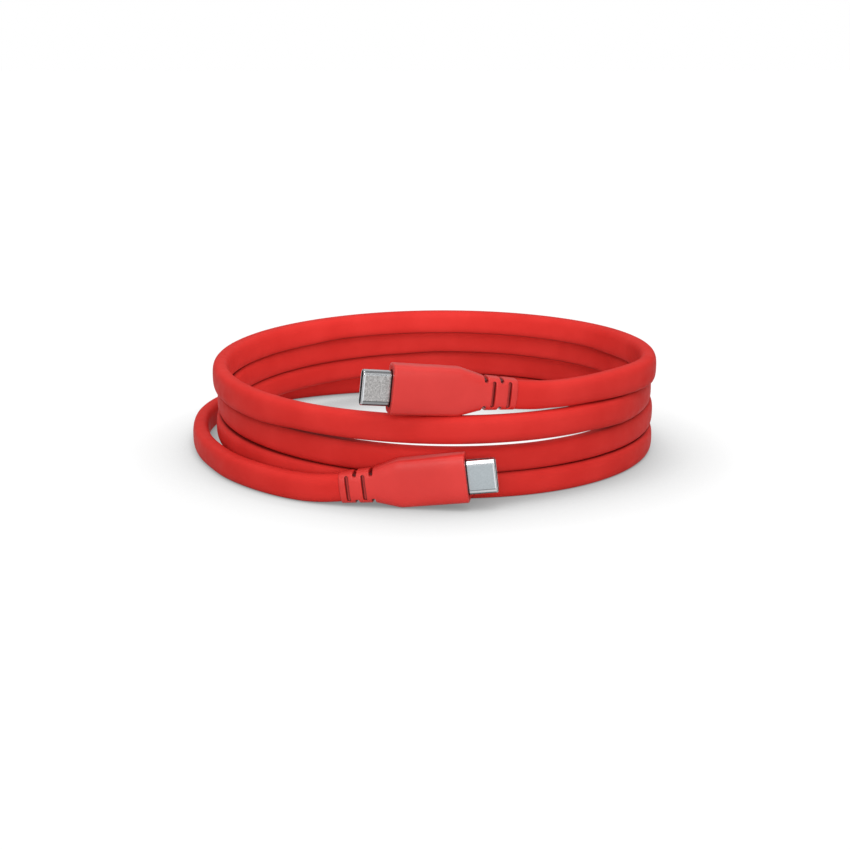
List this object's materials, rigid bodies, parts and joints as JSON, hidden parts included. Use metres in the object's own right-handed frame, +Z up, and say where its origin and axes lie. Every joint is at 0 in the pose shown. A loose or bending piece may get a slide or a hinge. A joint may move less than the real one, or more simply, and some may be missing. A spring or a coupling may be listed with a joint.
{
  "type": "coiled usb-c cable",
  "caption": "Coiled flat-jacketed red USB-C cable standing in stacked turns, with a moulded plug and slotted strain relief at each end.",
  "frame": {"origin": "under the middle of the bounding box, on the surface that the cable stands on", "axes": "+Z up, +X right and +Y away from the viewer who faces the plugs"},
  "size_m": [0.1216, 0.1245, 0.0341],
  "materials": {
    "jacket": "satin soft red cable jacket",
    "moulding": "satin soft red moulding",
    "nickel": "satin nickel plating",
    "black_plastic": "moulded black plastic",
    "gold": "gold flash",
    "spring_steel": "spring steel sheet",
    "card": "green solder mask",
    "chip": "black chip package",
    "chip_part": "ceramic chip parts",
    "wire_red": "red wire insulation",
    "wire_white": "white wire insulation",
    "shield_steel": "tinned steel sheet",
    "inner_plastic": "hard natural plastic",
    "braid": "tinned braid",
    "brass": "plain crimped brass"
  },
  "bodies": {
    "root": {"cord_coil": "jacket", "cord_loop": "jacket", "upper_moulding": "moulding", "upper_shell": "nickel", "upper_housing": "black_plastic", "upper_contacts_a": "gold", "upper_contacts_b": "gold", "upper_latch_plate": "spring_steel", "upper_ground_spring_a": "spring_steel", "upper_ground_spring_b": "spring_steel", "upper_carrier": "black_plastic", "upper_paddle_card": "card", "upper_marker_chip": "chip", "upper_chip_parts": "chip_part", "upper_power_wires": "wire_red", "upper_data_wires": "wire_white", "upper_can_a": "shield_steel", "upper_can_b": "shield_steel", "upper_inner_mould": "inner_plastic", "upper_braid_cuff": "braid", "upper_crimp_ring": "brass", "lower_moulding": "moulding", "lower_shell": "nickel", "lower_housing": "black_plastic", "lower_contacts_a": "gold", "lower_contacts_b": "gold", "lower_latch_plate": "spring_steel", "lower_ground_spring_a": "spring_steel", "lower_ground_spring_b": "spring_steel", "lower_carrier": "black_plastic", "lower_paddle_card": "card", "lower_marker_chip": "chip", "lower_chip_parts": "chip_part", "lower_power_wires": "wire_red", "lower_data_wires": "wire_white", "lower_can_a": "shield_steel", "lower_can_b": "shield_steel", "lower_inner_mould": "inner_plastic", "lower_braid_cuff": "braid", "lower_crimp_ring": "brass"}
  },
  "joints": []
}
